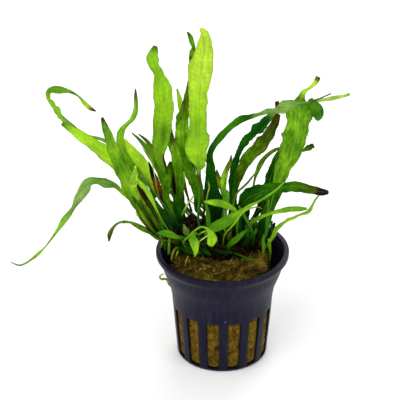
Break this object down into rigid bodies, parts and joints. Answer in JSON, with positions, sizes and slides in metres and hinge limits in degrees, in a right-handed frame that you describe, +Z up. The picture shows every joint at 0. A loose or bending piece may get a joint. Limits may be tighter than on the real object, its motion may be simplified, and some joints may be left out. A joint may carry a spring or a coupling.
{
  "type": "potted narrow leaf java fern",
  "caption": "Narrow leaf java fern with upright, arching and trailing fronds on creeping rhizomes, set in a mineral wool plug in a slotted net pot.",
  "frame": {"origin": "centre of the pot's base, on the surface that it stands on", "axes": "+Z up along the pot's axis, -Y towards the front of the plant, +X to its right"},
  "size_m": [0.1384, 0.0808, 0.1516],
  "materials": {
    "leaf_deep": "dark green frond, waxy satin",
    "leaf_dying": "withered brown-black frond, dull",
    "leaf_fresh": "bright yellow-green frond, waxy satin",
    "leaf_matt": "grey-green frond, dull",
    "leaf_mid": "mid green frond, waxy satin",
    "leaf_mottled": "olive frond mottled with brown",
    "leaf_pale": "pale yellow-green frond, satin",
    "mineral_wool": "damp ochre-brown mineral wool, fuzzy, matt",
    "pot_plastic": "dark navy-charcoal moulded plastic, soft gloss",
    "rhizome_bark": "dark brown scaly creeping stem"
  },
  "bodies": {
    "root": {"crozier_left": "leaf_mottled", "frond_arch_right": "leaf_deep", "frond_arching_front": "leaf_fresh", "frond_back_centre": "leaf_mid", "frond_back_drooping": "leaf_deep", "frond_back_drooping_left": "leaf_mid", "frond_back_left": "leaf_mid", "frond_back_right": "leaf_mid", "frond_behind_right": "leaf_deep", "frond_bright_left": "leaf_fresh", "frond_bright_narrow_left": "leaf_fresh", "frond_broad_left": "leaf_fresh", "frond_broad_right": "leaf_fresh", "frond_brown_tip_right": "leaf_deep", "frond_crooked_right": "leaf_mid", "frond_curled_tip_right": "leaf_fresh", "frond_curly_tip_left": "leaf_mid", "frond_dark_behind_right": "leaf_deep", "frond_dark_tip_left": "leaf_mid", "frond_dead_short": "leaf_dying", "frond_dying_left": "leaf_dying", "frond_green_core": "leaf_deep", "frond_green_core_left": "leaf_deep", "frond_hanging_front": "leaf_fresh", "frond_hook_left": "leaf_mid", "frond_leaning_front": "leaf_fresh", "frond_level_right": "leaf_mid", "frond_long_trailing_left": "leaf_matt", "frond_low_left_drooping": "leaf_mottled", "frond_lying_left": "leaf_mid", "frond_mottled_centre": "leaf_mottled", "frond_mottled_low_left": "leaf_mottled", "frond_olive_centre": "leaf_mottled", "frond_olive_right": "leaf_mottled", "frond_on_plug": "leaf_mid", "frond_pale_strand_left": "leaf_pale", "frond_pale_tip_centre": "leaf_mid", "frond_pale_tip_right": "leaf_pale", "frond_pointing_left": "leaf_mid", "frond_shaded_left": "leaf_deep", "frond_short_diagonal": "leaf_mid", "frond_slim_centre": "leaf_fresh", "frond_slim_left_inner": "leaf_mid", "frond_slim_left_outer": "leaf_mid", "frond_stem_right": "leaf_mid", "frond_strand_front": "leaf_fresh", "frond_tall_centre": "leaf_fresh", "frond_tall_left": "leaf_fresh", "frond_thin_branch_right": "leaf_mid", "frond_tuft_front": "leaf_matt", "frond_wavy_right": "leaf_pale", "frond_yellow_left": "leaf_fresh", "net_pot": "pot_plastic", "petiole_stub_right": "leaf_dying", "plantlet_right": "leaf_mottled", "rhizome_back": "rhizome_bark", "rhizome_front": "rhizome_bark", "rhizome_left": "rhizome_bark", "rhizome_right": "rhizome_bark", "wool_plug": "mineral_wool"}
  },
  "joints": []
}
